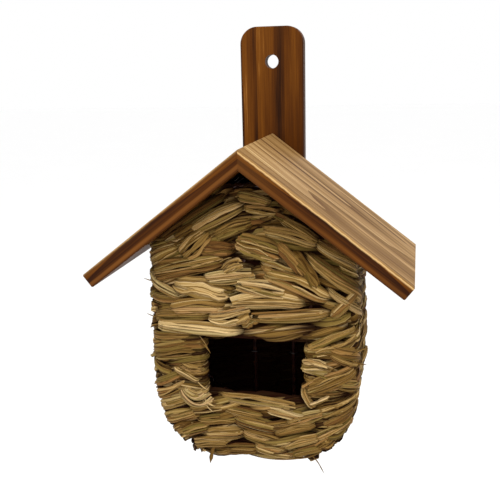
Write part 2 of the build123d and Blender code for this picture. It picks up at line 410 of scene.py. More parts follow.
# the outline, by drops below the ridge: a slight belly, sides that round into the floor from
# bottom_start on, and a front that curls under from curl_start on
bottom_radius = 46.5
bottom_start = 163.5
bottom_centre = 21.0
curl_start, curl_reach = 198.0, 12.0
belly_half_width, belly_drop = 68.3, 140.0
belly_narrowing, belly_reach = 1.6, 75.0
# the strands: their ends overlap at the back; a core's tone, hue and depth, as the finish reads them, the
# depth so low that the core is painted near black as shade
seam_overlap = 4.0
path_spacing = 2.0
core_shade_values = [0.2, 0.5, -4.0]
# the leaves: points round a leaf's section from edge to edge and back, and the side they lie on
full_turn = 6.28
leaf_steps = 16
leaf_thickness = 0.3
thin_share = 0.35
profile_across = np.array([-1.0, -0.36, 0.36, 1.0, 1.0, 0.36, -0.36, -1.0])
profile_side = np.array([0.5, 0.5, 0.5, 0.5, -0.5, -0.5, -0.5, -0.5])


def unit(vectors):
    """Vectors of length 1."""
    return vectors / np.maximum(np.linalg.norm(vectors, axis=-1, keepdims=True), 1e-9)


def at_places(values, places):
    """Rows of values read at places from 0 to 1 along the path, by linear interpolation."""
    grid = np.linspace(0, 1, len(values))
    if values.ndim == 1:
        return np.interp(places, grid, values)
    return np.stack([np.interp(places, grid, column) for column in values.T], axis=-1)


def ease(value, low, high):
    """0 below low, 1 above high, smooth between them."""
    t = np.clip((value - low) / (high - low), 0, 1)
    return t * t * (3 - 2 * t)


def tube_faces(count, steps, ring):
    """Quads of closed tubes, each of some steps with an even ring, capped by strips of quads."""
    base = (np.arange(count)[:, None, None] * steps + np.arange(steps - 1)[None, :, None]) * ring
    here = np.arange(ring)[None, None, :]
    after = (here + 1) % ring
    sides = np.stack([base + after, base + here, base + ring + here, base + ring + after], axis=-1)
    cap = np.arange(ring // 2 - 1)
    cap = np.stack([cap, cap + 1, ring - 2 - cap, ring - 1 - cap], axis=-1)
    first = (np.arange(count) * steps * ring)[:, None, None] + cap[None]
    last = first[..., ::-1] + (steps - 1) * ring
    return np.concatenate([sides.reshape(-1, 4), first.reshape(-1, 4), last.reshape(-1, 4)])


def leaf_strips(path, leaf):
    """Leaves that follow a path, laid on an ellipse round it.

    A leaf's middle line is path + q (h sin a up + d cos a out), where the angle a turns along the
    path; across it the strip is an arch of height fold * (1 - |c|^1.6) with pleats, c from -1 to 1.
    """
    count = len(leaf["start"])
    step = np.linspace(0, 1, leaf_steps)[None, :]
    one = {name: values[:, None] for name, values in leaf.items() if values.ndim == 1}
    place = one["start"] + (one["end"] - one["start"]) * step
    spine = at_places(path["spine"], place)
    out = unit(at_places(path["out"], place))
    high = at_places(path["high"], place)
    deep = at_places(path["deep"], place)
    stand = at_places(path["stand"], place)
    along = unit(np.gradient(spine, axis=1))
    up = unit(np.cross(out, along))
    out = np.cross(along, up)
    wave = one["wave"] * np.sin(full_turn * (one["pace"] * step + one["phase"]))
    angle = one["angle"] + one["turn"] * step + wave
    tuck_start = (1 - one["cut_start"]) * (1 - ease(step, 0, 0.16))
    tuck_end = (1 - one["cut_end"]) * ease(step, 0.84, 1)
    reach = one["reach"] * (1 - one["tuck"] * (tuck_start + tuck_end))
    rise = reach * deep * np.cos(angle)
    middle = spine + (reach * high * np.sin(angle))[..., None] * up + rise[..., None] * out
    side = unit((high * np.cos(angle))[..., None] * up - (deep * np.sin(angle))[..., None] * out)
    face = np.cross(along, side)
    roll = (one["roll"] + 0.25 * wave)[..., None]
    side, face = side * np.cos(roll) + face * np.sin(roll), face * np.cos(roll) - side * np.sin(roll)
    lift = one["lift_start"] * (1 - ease(step, 0, 0.35)) + one["lift_end"] * ease(step, 0.65, 1)
    middle = middle + lift[..., None] * out
    point_start = np.maximum(ease(step, -0.04, 0.2), one["cut_start"])
    point_end = np.maximum(1 - ease(step, 0.8, 1.04), one["cut_end"])
    ripple = 1 + 0.12 * np.sin(full_turn * (one["pace"] * 2.3 * step + one["phase"] * 3))
    half = (one["width"] / 2 * point_start * point_end * ripple)[..., None]
    across = profile_across[None, None, :]
    pleat = np.concatenate([leaf["pleat"], leaf["pleat"][:, ::-1]], axis=1)[:, None, :]
    arch = leaf["fold"][:, None, None] * (1 - np.abs(across) ** 1.6)
    offset = (arch + pleat) * half + profile_side[None, None, :] * leaf_thickness
    skew = (one["skew"] * (ease(step, 0.85, 1) - 1 + ease(step, 0, 0.15)))[..., None] * across * half
    points = (
        middle[:, :, None, :]
        + (across * half)[..., None] * side[:, :, None, :]
        + offset[..., None] * face[:, :, None, :]
        + skew[..., None] * along[:, :, None, :]
    )
    # how far each point of a leaf stands out, from the path's stand; the finish paints shade where this is
    # low
    level = stand + rise + lift - 2.2 * (1 - np.cos(angle))
    depth = level[:, :, None] + offset
    lengths = np.linalg.norm(np.diff(middle, axis=1), axis=-1)
    run = np.concatenate([np.zeros((count, 1)), np.cumsum(lengths, axis=1)], axis=1) * mm
    shape = points.shape[:3]
    u = np.broadcast_to((run + one["phase"])[:, :, None], shape)
    v = np.broadcast_to(across * 0.5 + 0.5, shape)
    tone = np.broadcast_to(one["tone"][..., None], shape)
    hue = np.broadcast_to(one["hue"][..., None], shape)
    return {
        "points": points.reshape(-1, 3) * mm,
        "faces": tube_faces(count, leaf_steps, len(profile_across)),
        "uv": np.stack([u, v], axis=-1).reshape(-1, 2),
        "leaf": np.stack([tone, hue, depth], axis=-1).reshape(-1, 3),
    }


def core(path, high, deep):
    """Packed inside of a strand: a closed tube painted near black as shade, rings spine + deep cos t out +
    high sin t up.
    """
    ring = 8
    turn = -np.linspace(0, 2 * math.pi, ring, endpoint=False)[None, :, None]
    last = len(path["spine"]) - 1
    kept = np.unique(np.linspace(0, last, last // 2 + 1).round().astype(int))
    spine = path["spine"][kept]
    out = path["out"][kept]
    along = unit(np.gradient(spine, axis=0))
    up = unit(np.cross(out, along))
    out = np.cross(along, up)
    points = spine[:, None] + deep * np.cos(turn) * out[:, None] + high * np.sin(turn) * up[:, None]
    count = len(spine) * ring
    return {
        "points": points.reshape(-1, 3) * mm,
        "faces": tube_faces(1, len(spine), ring),
        "uv": np.zeros((count, 2)),
        "leaf": np.tile(core_shade_values, (count, 1)),
    }


def leaf_set(rng, count, **given):
    """Random leaves; named values replace the usual ones."""
    usual = {
        "start": np.zeros(count),
        "end": np.ones(count),
        "angle": rng.uniform(-math.pi, math.pi, count),
        "turn": rng.normal(0, 0.3, count),
        "wave": rng.uniform(0.02, 0.16, count),
        "pace": rng.uniform(0.6, 1.8, count),
        "phase": rng.uniform(0, 1, count),
        "reach": rng.uniform(0.8, 1.08, count),
        "tuck": rng.uniform(0.3, 0.8, count),
        "roll": rng.normal(0, 0.3, count),
        "width": np.where(
            rng.uniform(0, 1, count) < thin_share,
            rng.uniform(0.9, 2.0, count),
            rng.uniform(2.4, 5.4, count),
        ),
        "fold": rng.normal(0.2, 0.2, count),
        "cut_start": np.zeros(count),
        "cut_end": np.zeros(count),
        "lift_start": np.zeros(count),
        "lift_end": np.zeros(count),
        "skew": rng.uniform(-0.6, 0.6, count),
        "tone": rng.beta(2.2, 2.2, count),
        "hue": rng.uniform(0, 1, count),
    }
    for name, value in given.items():
        usual[name] = np.broadcast_to(np.asarray(value, float), (count,))
    usual["pleat"] = rng.normal(0, 0.2, (count, 4))
    return usual


def half_width(level):
    """Outer half width at a level below the ridge: slightly barrelled, then rounded into the floor."""
    drop = np.asarray(-level, float)
    barrel = belly_half_width - belly_narrowing * ((drop - belly_drop) / belly_reach) ** 2
    below = np.maximum(drop - bottom_start, 0)
    rounded = bottom_centre + np.sqrt(np.maximum(bottom_radius**2 - below**2, 0))
    return np.where(drop < bottom_start + 1, barrel, rounded)


def wall_path(level, rise_front, press):
    """Middle of the wall all the way round at one level, from the back's middle by the left side.

    A rounded rectangle of straight runs and quarter arcs, read at steps that are closer in the arcs.
    The front's middle is lifted by rise_front, nothing at the corners, and pressed in by press.
    Returns the line, its outward directions and its length.
    """
    tilt_side = np.clip((-level - bottom_start) / bottom_radius, 0, 0.95)
    tilt_front = np.clip((-level - curl_start) / curl_reach, 0, 0.9)
    wide = half_width(level) - wall_middle
    near = front_face + wall_middle + curl_reach * (1 - math.sqrt(1 - tilt_front**2))
    far = back_face - wall_middle
    corner = 5.0
    turn = np.linspace(0, math.pi / 2, 12)
    arcs = []
    for x, y, begin in (
        (-wide + corner, far - corner, math.pi / 2),
        (-wide + corner, near + corner, math.pi),
        (wide - corner, near + corner, 1.5 * math.pi),
        (wide - corner, far - corner, 0),
    ):
        arcs.append(np.stack([x + corner * np.cos(begin + turn), y + corner * np.sin(begin + turn)], 1))
    plan = np.concatenate([[[seam_overlap, far]], *arcs, [[-seam_overlap, far]]])
    parts = np.linalg.norm(np.diff(plan, axis=0), axis=1)
    in_arc = parts < 2
    run = np.concatenate([[0], np.cumsum(np.where(in_arc, parts * 3, parts))])
    count = int(run[-1] / path_spacing)
    at = np.linspace(0, run[-1], count)
    x = np.interp(at, run, plan[:, 0])
    y = np.interp(at, run, plan[:, 1])
    tangent = unit(np.stack([np.gradient(x), np.gradient(y), np.zeros(count)], axis=-1))
    flat = np.cross(tangent, [0, 0, 1.0])
    across_x, across_y = np.abs(flat[:, 0]), np.maximum(-flat[:, 1], 0)
    down = across_x * tilt_side + across_y * tilt_front
    fall = -down / np.sqrt(1.001 - np.minimum(down, 1) ** 2)
    out = unit(np.stack([flat[:, 0], flat[:, 1], fall], axis=-1))
    on_front = ease(-y, -near - 6, -near - 1)
    lift = rise_front * np.clip(1 - np.abs(x - centre_x) / wide, 0, 1) * on_front
    z = np.full(count, level + ridge_mm) + lift
    return np.stack([x, y + press * on_front, z], axis=-1), out, run[-1]


stakes = [
    (-15, back_wire_y), (-hoop_x, back_wire_y), (-hoop_x, rib_places[0]), (-hoop_x, rib_places[1]),
    (-hoop_x, hoop_y), (jamb_left, hoop_y), (centre_x, hoop_y), (jamb_right, hoop_y), (hoop_x, hoop_y),
    (hoop_x, rib_places[1]), (hoop_x, rib_places[0]), (hoop_x, back_wire_y), (15, back_wire_y),
]


strand_out, strand_rise = 2.8, 2.2
leaves_per_mm = 0.31
loose_share = 0.10


def twined(rng, level, rise_front, press, tall, flip, part=(0.0, 1.0)):
    """One course: two strands that change places at every stake, as arrays of leaves.

    Each strand is a helix round the course's middle line: out by strand_out cos p and up by
    strand_rise sin p, where the phase p grows by half a turn from stake to stake.
    """
    spine, out, length = wall_path(level, rise_front, press)
    at = np.linspace(0, 1, len(spine))
    posts = []
    for x, y in stakes:
        gap = np.hypot(spine[:, 0] - x, spine[:, 1] - y)
        posts.append(at[np.argmin(gap)] + rng.uniform(-2.5, 2.5) / length)
    posts = np.array(sorted(posts))
    knots = np.concatenate([[posts[-1] - 1], posts, [posts[0] + 1]])
    phase = (np.interp(at, knots, np.arange(len(knots))) + 0.5) * math.pi
    use = (at >= part[0]) & (at <= part[1])
    lean = 1 - 2 * ease(spine[:, 0] * (rise_front > 2), 0, 12)
    strips = []
    for strand in (0, 1):
        p = phase + math.pi * (strand + flip)
        wobble = 0.6 * np.sin(full_turn * (at * rng.uniform(5, 9) + rng.uniform()))
        stand = strand_out * np.cos(p)
        lift = strand_rise * lean * np.sin(p) + wobble
        path = {
            "spine": (spine + stand[:, None] * out + lift[:, None] * np.array([0, 0, 1.0]))[use],
            "out": out[use],
            "high": (tall * (0.30 + 0.22 * np.abs(np.cos(p))))[use],
            "deep": (1.7 + 0.8 * np.abs(np.cos(p)))[use],
            "stand": stand[use],
        }
        run = length * (part[1] - part[0])
        count = int(run * leaves_per_mm)
        reach = rng.uniform(38, 90, count) / run
        start = rng.uniform(-0.4 * reach, 1 - 0.6 * reach)
        end = np.clip(start + reach, 0, 1)
        start = np.clip(start, 0, 1)
        loose = rng.uniform(0, 1, count) < loose_share
        leaves = leaf_set(
            rng,
            count,
            start=start,
            end=end,
            angle=rng.normal(-0.3, 1.25, count),
            turn=rng.uniform(0.5, 2.2, count) * (end - start) * run / 80,
            cut_end=np.where(loose, 1.0, 0.0),
            lift_end=np.where(loose, rng.uniform(0.2, 1.6, count), 0.0),
        )
        strips.append(leaf_strips(path, leaves))
    strips.append(core({"spine": spine[use], "out": out[use]}, tall * 0.62, 1.5))
    return strips


def joined(strips):
    """One set of arrays from several."""
    offsets = np.cumsum([0] + [len(s["points"]) for s in strips[:-1]])
    return {
        "points": np.concatenate([s["points"] for s in strips]),
        "faces": np.concatenate([s["faces"] + o for s, o in zip(strips, offsets)]),
        "uv": np.concatenate([s["uv"] for s in strips]),
        "leaf": np.concatenate([s["leaf"] for s in strips]),
    }


def grass_finish():
    """Dry sea grass: fine ribs along a leaf, olive to straw by leaf, spots, and painted shade in rib
    creases, at leaf edges and in hollows.
    """
    finish = Finish("dry_grass", Specular_IOR_Level=0.06)
    uv = finish.node("UVMap", {"uv_map": "leaf_uv"}, {})
    along = uv.dot((1, 0, 0))
    across = uv.dot((0, 1, 0))
    own = finish.node("Attribute", {"attribute_name": "leaf"}, {}, out=1)
    tone = own.dot((1, 0, 0))
    hue = own.dot((0, 1, 0))
    level = own.dot((0, 0, 1))
    ribs = finish.noise(finish.together(along * 16.0, across * 11.0, hue * 40.0), 1.0, 4.0, 0.65)
    fine = finish.noise(finish.together(along * 30.0, across * 30.0, hue * 60.0), 1.0, 2.0, 0.6)
    streak = finish.noise(finish.together(along * 10.0, across * 2.5, hue * 70.0), 1.0, 3.0, 0.55)
    spots = finish.noise(finish.together(along * 70.0, across * 1.5, hue * 20.0), 1.0, 4.0, 0.6)
    value = tone * 0.66 + (streak - 0.5) * 0.7 + (ribs - 0.5) * 1.0 + (fine - 0.5) * 0.4 + 0.14
    straw = finish.ramp(value, [
        (0.05, (0.036, 0.012, 0.001)),
        (0.30, (0.120, 0.060, 0.010)),
        (0.58, (0.30, 0.176, 0.046)),
        (0.92, (0.78, 0.57, 0.28)),
    ])
    warm = finish.mix(finish.smooth(hue, 0.70, 0.98) * 0.36, straw, (0.28, 0.11, 0.035))
    green = finish.mix(finish.smooth(0.34 - hue, 0.0, 0.25) * 0.4, warm, (0.15, 0.125, 0.026))
    spotted = finish.mix(finish.smooth(spots, 0.60, 0.75) * 0.5, green, (0.07, 0.030, 0.010))
    # painted shade: colour darkened in the low rib creases, the valleys of the bump
    painted_crease_shade = finish.smooth(ribs, 0.45, 0.33)
    crease_shaded = finish.mix(painted_crease_shade * 0.75, spotted, (0.035, 0.010, 0.003))
    # painted shade: leaf edges darkened to stand in for the shade in the gaps between leaves
    edge = finish.smooth((across - 0.5).of("ABSOLUTE"), 0.33, 0.5)
    leaf_edge_shaded = finish.mix(edge * 0.7, crease_shaded, (0.035, 0.010, 0.003))
    # painted shade: colour goes near black where a leaf surface lies low, in the hollows between and under
    # strands
    painted_hollow_shade = 1 - finish.smooth(level, 1.0, 5.3)
    colour = finish.mix(painted_hollow_shade * 0.96, leaf_edge_shaded, (0.014, 0.003, 0.0012))
    bump = finish.bump(ribs + fine * 0.5, 0.8, 0.7 * mm)
    rough = 0.42 + ribs * 0.25 + painted_hollow_shade * 0.5
    return finish.use(Base_Color=colour, Roughness=rough, Normal=bump)


grass_material = grass_finish()


def grass_piece(strips, node):
    """Makes one course a piece that stands for its CAD node."""
    arrays = joined(strips)
    piece = mesh_object("grass_" + node, arrays["points"], arrays["faces"], grass_material)
    mesh = piece.data
    corners = np.zeros(len(mesh.loops), np.int32)
    mesh.loops.foreach_get("vertex_index", corners)
    uv = mesh.uv_layers.new(name="leaf_uv")
    uv.data.foreach_set("uv", arrays["uv"][corners].astype(np.float32).ravel())
    own = mesh.attributes.new("leaf", "FLOAT_VECTOR", "POINT")
    own.data.foreach_set("vector", arrays["leaf"].astype(np.float32).ravel())
    mesh.set_sharp_from_angle(angle=math.radians(32))
    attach(piece, "root")
    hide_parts(node)


rng = np.random.default_rng(7)


def node_level(node):
    """A course's middle, and its height, in millimetres below the ridge."""
    low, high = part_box(node)
    return (low.z + high.z) / 2 / mm - ridge_mm, (high.z - low.z) / mm


# front bundles laid over the twining, listed: from x, z to x, z below the ridge; then width, leaves,
# tone, bow, how far they stand out, and which ends are cut
laid = [
    (-63, -63, -16, -27, 7, 4, 0.05, 1, 2.6, ""),
    (-61, -66, -20, -36, 8, 5, 0.12, 1, 3.2, ""),
    (-50, -54, -10, -28, 6, 4, 0.08, 1, 3.6, ""),
    (-42, -57, 1, -35, 9, 6, 0.72, 1, 5.0, ""),
    (-52, -63, -22, -45, 9, 5, 0.30, 1, 3.8, ""),
    (-25, -59, 6, -47, 9, 5, 0.40, 1, 4.6, ""),
    (-45, -72, -24, -53, 15, 9, 0.50, 0, 5.6, ""),
    (-34, -66, -8, -66, 11, 3, 0.42, 1, 4.2, ""),
    (-64, -76, -43, -63, 10, 5, 0.55, 2, 4.6, ""),
    (-63, -68, -48, -60, 8, 5, 0.35, 1, 4.0, ""),
    (-63, -86, -8, -71, 11, 9, 0.48, 2, 5.4, ""),
    (-60, -78, -30, -74, 8, 5, 0.38, 1, 4.0, ""),
    (-17, -81, -3, -73, 8, 4, 0.66, 1, 5.8, "e"),
    (-62, -84, -42, -99, 6, 4, 0.82, -2, 5.4, ""),
    (-54, -89, -9, -97, 13, 3, 0.72, 1, 5.4, ""),
    (-33, -85, 5, -80, 9, 7, 0.75, 0, 5.8, "e"),
    (-31, -88, -7, -92, 7, 4, 0.30, 0, 4.4, ""),
    (-8, -87, 30, -93, 11, 9, 0.85, 0, 6.0, "s"),
    (-12, -101, 40, -100, 11, 6, 0.82, 3, 5.6, "s"),
    (-66, -99, -38, -100, 7, 5, 0.42, 0, 4.0, ""),
    (-58, -107, -11, -104, 9, 3, 0.68, 3, 5.4, ""),
    (-62, -112, -20, -109, 8, 5, 0.50, 0, 4.4, ""),
    (-30, -111, 2, -105, 11, 9, 0.86, -2, 6.0, "e"),
    (-7, -113, 3, -108, 9, 2, 0.60, 0, 5.6, "e"),
    (-60, -118, 0, -120, 9, 6, 0.70, 1, 5.6, ""),
    (-8, -30, 17, -36, 8, 5, 0.55, 1, 4.6, ""),
    (-4, -38, 22, -41, 6, 5, 0.60, 0, 5.0, ""),
    (12, -29, 63, -65, 7, 5, 0.12, 1, 3.0, ""),
    (13, -40, 34, -51, 5, 3, 0.32, 0, 3.6, ""),
    (18, -43, 47, -61, 6, 5, 0.42, 1, 4.6, ""),
    (6, -52, 47, -63, 9, 7, 0.62, 3, 5.2, ""),
    (-7, -59, 25, -70, 15, 9, 0.58, 1, 5.6, "s"),
    (17, -59, 39, -84, 7, 2, 0.46, 2, 6.4, ""),
    (27, -65, 44, -87, 9, 3, 0.32, 1, 5.8, "e"),
    (34, -65, 70, -96, 8, 4, 0.52, 1, 6.2, "e"),
    (40, -58, 66, -77, 8, 6, 0.50, 1, 5.0, ""),
    (48, -62, 66, -70, 7, 5, 0.30, 1, 4.4, ""),
    (6, -73, 33, -80, 10, 7, 0.62, 1, 5.0, ""),
    (5, -80, 56, -98, 13, 4, 0.68, 3, 5.8, ""),
    (48, -87, 67, -104, 5, 4, 0.70, 0, 6.2, "e"),
    (55, -74, 68, -84, 12, 8, 0.45, 2, 4.4, ""),
    (62, -95, 51, -109, 7, 3, 0.58, 1, 6.0, ""),
    (2, -109, 56, -104, 9, 7, 0.48, -1, 5.2, "s"),
    (-66, -127, -33, -124, 8, 6, 0.42, 0, 4.6, ""),
    (-65, -136, -33, -127, 8, 6, 0.52, 1, 5.2, ""),
    (-60, -141, -31, -134, 9, 5, 0.50, 2, 5.6, ""),
    (-50, -143, -30, -147, 9, 6, 0.52, -2, 5.2, ""),
    (-66, -146, -50, -152, 7, 5, 0.40, 0, 4.6, "s"),
    (-54, -146, -33, -157, 3, 2, 0.78, 0, 6.0, ""),
    (-64, -166, -40, -151, 14, 10, 0.52, 0, 5.2, ""),
    (-50, -158, -26, -164, 11, 9, 0.84, -8, 6.2, "e"),
    (-46, -160, -29, -160, 6, 5, 0.74, -5, 6.4, ""),
    (39, -130, 64, -119, 12, 8, 0.56, 1, 5.2, "s"),
    (47, -127, 70, -139, 12, 6, 0.48, 1, 5.8, ""),
    (34, -138, 51, -141, 11, 9, 0.84, 0, 6.4, "se"),
    (36, -158, 62, -142, 13, 9, 0.58, 0, 5.6, "s"),
    (50, -149, 71, -157, 11, 8, 0.45, 2, 5.2, ""),
    (38, -167, 53, -159, 3, 1, 0.88, 0, 6.4, ""),
    (34, -154, 43, -168, 5, 4, 0.70, -3, 5.8, ""),
    (41, -176, 66, -163, 11, 8, 0.50, 0, 5.0, ""),
    (-27, -166, 32, -169, 9, 10, 0.60, 1, 5.4, "e"),
    (6, -171, 41, -177, 8, 5, 0.74, 0, 5.2, ""),
    (-61, -178, -38, -166, 8, 6, 0.50, 1, 5.0, ""),
    (-46, -177, -14, -171, 8, 6, 0.62, 1, 5.2, ""),
    (-24, -173, 12, -178, 7, 5, 0.48, 0, 4.8, ""),
    (20, -184, 52, -171, 8, 6, 0.60, 1, 5.2, ""),
    (44, -185, 64, -171, 8, 6, 0.46, 1, 5.0, ""),
    (-60, -189, -34, -178, 8, 7, 0.56, 1, 5.2, ""),
    (-41, -186, -6, -181, 7, 6, 0.46, 1, 5.0, ""),
    (-16, -179, 22, -187, 9, 7, 0.64, 0, 5.4, ""),
    (11, -191, 46, -180, 8, 6, 0.52, 1, 5.2, ""),
    (38, -194, 62, -178, 7, 6, 0.58, 1, 5.2, ""),
    (-54, -197, -27, -186, 8, 6, 0.44, 1, 5.0, ""),
    (-35, -195, -3, -191, 9, 5, 0.55, 1, 5.4, ""),
    (-10, -190, 25, -197, 8, 6, 0.50, 0, 5.2, ""),
    (17, -200, 49, -188, 8, 6, 0.58, 1, 5.4, ""),
    (41, -199, 58, -187, 7, 5, 0.40, 1, 5.0, ""),
    (-46, -203, -12, -197, 8, 6, 0.56, 1, 5.2, ""),
    (-30, -206, 9, -201, 8, 6, 0.48, 0, 5.2, ""),
    (-2, -199, 31, -206, 8, 6, 0.60, 0, 5.4, ""),
    (23, -207, 51, -196, 8, 6, 0.50, 1, 5.2, ""),
]

# single fibres that stick out: from x, z to x, z; then sag, width, tone and how far the tip stands off
stray = [
    (-26, -201, -29, -214, 2.0, 2.6, 0.15, 0.0),
    (38, -203, 49, -214, 2.5, 0.6, 0.35, 1.0),
    (-56, -88, -69, -85, -1.0, 0.5, 0.60, 0.0),
    (-56, -112, -68, -109, -1.5, 0.5, 0.60, 0.0),
    (-27, -136, -32, -122, 1.0, 0.7, 0.70, 2.0),
    (-33, -129, -25, -134, 0.8, 0.6, 0.60, 2.0),
    (62, -136, 76, -126, 2.0, 0.8, 0.35, -3.0),
    (62, -133, 75, -137, -1.5, 0.6, 0.35, -3.0),
    (-38, -158, -23, -171, -4.0, 1.3, 0.80, 2.0),
    (-36, -165, -24, -175, -2.0, 1.1, 0.85, 2.5),
    (-40, -152, -27, -160, -2.0, 0.8, 0.85, 1.5),
    (30, -32, 44, -40, 1.5, 0.7, 0.65, 2.0),
    (-20, -75, -9, -69, 1.0, 0.8, 0.75, 2.0),
    (-12, -170, 2, -163, 1.5, 0.7, 0.80, 2.0),
]


# bundles that pass left_corner or right_corner go on round the corner by corner_reach
left_corner, right_corner = -59, 61
corner_reach = 13.0
laid_radius = 12.0
thin_count = 3


def laid_bundle(rng, entry):
    """A bundle laid over the front wall, and round its corners, its two ends tucked in unless cut.

    x counts along the wall's face: past the front it follows a quarter arc, then the side wall.
    """
    x0, z0, x1, z1, width, wide_count, tone, bow, stand_out, cut = entry
    if x0 > x1:
        x0, z0, x1, z1, cut = x1, z1, x0, z0, cut.translate({ord("s"): "e", ord("e"): "s"})
    cut_start, cut_end = "s" in cut, "e" in cut
    slope = (z1 - z0) / (x1 - x0)
    if x0 < left_corner:
        x0, z0 = x0 - corner_reach, z0 - slope * corner_reach * 0.5
    if x1 > right_corner:
        x1, z1 = x1 + corner_reach, z1 + slope * corner_reach * 0.5
    steps = np.linspace(0, 1, 50)
    face_x = x0 + (x1 - x0) * steps
    z = z0 + (z1 - z0) * steps + bow * np.sin(math.pi * steps)
    dive = (not cut_start) * (1 - ease(steps, 0, 0.22)) + (not cut_end) * ease(steps, 0.78, 1)
    under = np.clip((-z - curl_start) / curl_reach, 0, 0.95)
    inset = 5.8 - stand_out + 6.0 * dive + curl_reach * (1 - np.sqrt(1 - under**2))
    flat = half_width(z) - laid_radius
    side = np.sign(face_x)
    angle = np.clip((np.abs(face_x) - flat) / laid_radius, 0, math.pi / 2)
    beyond = np.maximum(np.abs(face_x) - flat - laid_radius * math.pi / 2, 0)
    x = side * (np.minimum(np.abs(face_x), flat) + (laid_radius - inset) * np.sin(angle))
    y = front_face + laid_radius - (laid_radius - inset) * np.cos(angle) + beyond
    swell = 0.3 + 0.7 * np.sin(math.pi * np.clip(steps, 0.03, 0.97)) ** 0.6
    blunt = (steps < 0.5) & cut_start | (steps > 0.5) & cut_end
    swell = np.where(blunt, 0.4 + 0.6 * swell, swell)
    path = {
        "spine": np.stack([x, y, z + ridge_mm], axis=-1),
        "out": np.stack([side * np.sin(angle), -np.cos(angle), np.zeros(50)], axis=-1),
        "high": width / 2 * swell,
        "deep": 1.8 * swell,
        # painted shade: the tucked ends are set low so the finish paints them dark
        "stand": stand_out - 1.0 - 4.0 * dive,
    }
    count = wide_count + thin_count
    spread = (np.arange(wide_count) + 0.5) / wide_count
    order = np.concatenate([spread, rng.uniform(0.1, 0.9, thin_count)])
    thin = np.arange(count) >= wide_count
    starts = rng.uniform(0, 0.12 if cut_start else 0.04, count)
    ends = 1 - rng.uniform(0, 0.12 if cut_end else 0.04, count)
    leaves = leaf_set(
        rng,
        count,
        start=starts,
        end=ends,
        angle=(order - 0.5) * 2.5 + rng.normal(0, 0.08, count),
        turn=rng.normal(0, 0.3, count),
        width=np.where(
            thin,
            rng.uniform(0.8, 1.6, count),
            np.clip(width / wide_count * rng.uniform(1.3, 1.9, count), 1.4, 12),
        ),
        reach=np.where(thin, rng.uniform(1.1, 1.3, count), rng.uniform(0.8, 1.08, count)),
        roll=rng.normal(0, 0.28, count),
        fold=rng.normal(0.25, 0.14, count),
        cut_start=float(cut_start),
        cut_end=float(cut_end),
        lift_start=rng.uniform(0, 1.2, count) if cut_start else 0.0,
        lift_end=rng.uniform(0, 1.2, count) if cut_end else 0.0,
        tuck=0.2,
        tone=np.clip(rng.normal(tone, 0.13, count), 0, 1),
    )
    return leaf_strips(path, leaves)


def stray_fibre(rng, entry):
    """One thin fibre that starts in the weave and ends free."""
    x0, z0, x1, z1, sag, width, tone, off = entry
    count = 12
    steps = np.linspace(0, 1, count)
    x = x0 + (x1 - x0) * steps
    y = front_face + 2.0 - (4.0 + off) * steps
    z = ridge_mm + z0 + (z1 - z0) * steps + sag * np.sin(math.pi * steps)
    path = {
        "spine": np.stack([x, y, z], axis=-1),
        "out": np.tile([0, -1.0, 0], (count, 1)),
        "high": np.full(count, 0.4),
        "deep": np.full(count, 0.4),
        "stand": np.full(count, 5.0),
    }
    leaf = leaf_set(rng, 1, width=width, tone=tone, hue=0.5, angle=0.0, turn=0.3, tuck=0.1)
    return leaf_strips(path, leaf)


bend_steps = 14
front_reach, inside_reach = 27.0, 14.0


def jamb_wrap(rng, level, tall, side):
    """A bundle bent round a jamb: along the front, half a circle round the wire, and back inside.

    side is -1 at the left jamb and 1 at the right one; the path always runs so that up is up.
    """
    turn = np.linspace(0, math.pi, bend_steps)
    wire_x = jamb_left if side < 0 else jamb_right
    deep_y = np.where(np.cos(turn) > 0, 6.4, 3.0)
    bend = np.stack([wire_x - side * 2.0 * np.sin(turn), hoop_y - deep_y * np.cos(turn)], axis=1)
    bend_out = np.stack([-side * np.sin(turn), -np.cos(turn)], axis=1)
    run = np.linspace(0, 1, bend_steps)[:-1, None]
    front = bend[0] + (1 - run) * np.array([side * front_reach, 0])
    inside = bend[-1] + (1 - run[::-1]) * np.array([side * inside_reach, 0])
    plan = np.concatenate([front, bend, inside])
    straight = len(run)
    front_out = np.tile(bend_out[0], (straight, 1))
    inside_out = np.tile(bend_out[-1], (straight, 1))
    out = np.concatenate([front_out, bend_out, inside_out])
    sunk = 3.5 * (1 - ease(run[:, 0], 0, 0.4))
    # painted shade: inside the entrance the stand is low, so the finish paints that part dark
    stand = np.concatenate([3.0 - sunk, 3.4 * np.cos(turn / 2) - 0.4, np.full(straight, -1.5)])
    inward = np.concatenate([sunk, np.zeros(bend_steps + straight)])
    shift = rng.uniform(-0.1, 0.1)
    slope = rng.uniform(-0.10, 0.42)
    z = ridge_mm + level + shift * tall + rng.uniform(-0.5, 0.5) - slope * np.abs(plan[:, 0] - wire_x)
    path = {
        "spine": np.stack([plan[:, 0], plan[:, 1] + inward, z], axis=-1),
        "out": np.column_stack([out, np.zeros(len(out))]),
        "high": np.full(len(plan), tall * 0.46),
        "deep": np.full(len(plan), 1.6),
        "stand": stand,
    }
    if side > 0:
        path = {name: values[::-1] for name, values in path.items()}
    count = 10
    leaves = leaf_set(
        rng,
        count,
        start=rng.uniform(0, 0.06, count),
        end=rng.uniform(0.94, 1, count),
        angle=(np.arange(count) + 0.5) / count * 3.4 - 1.7,
        turn=rng.normal(0, 0.3, count),
        width=rng.uniform(1.8, 4.0, count),
        tone=rng.uniform(0.25, 0.85, count),
    )
    return leaf_strips(path, leaves)


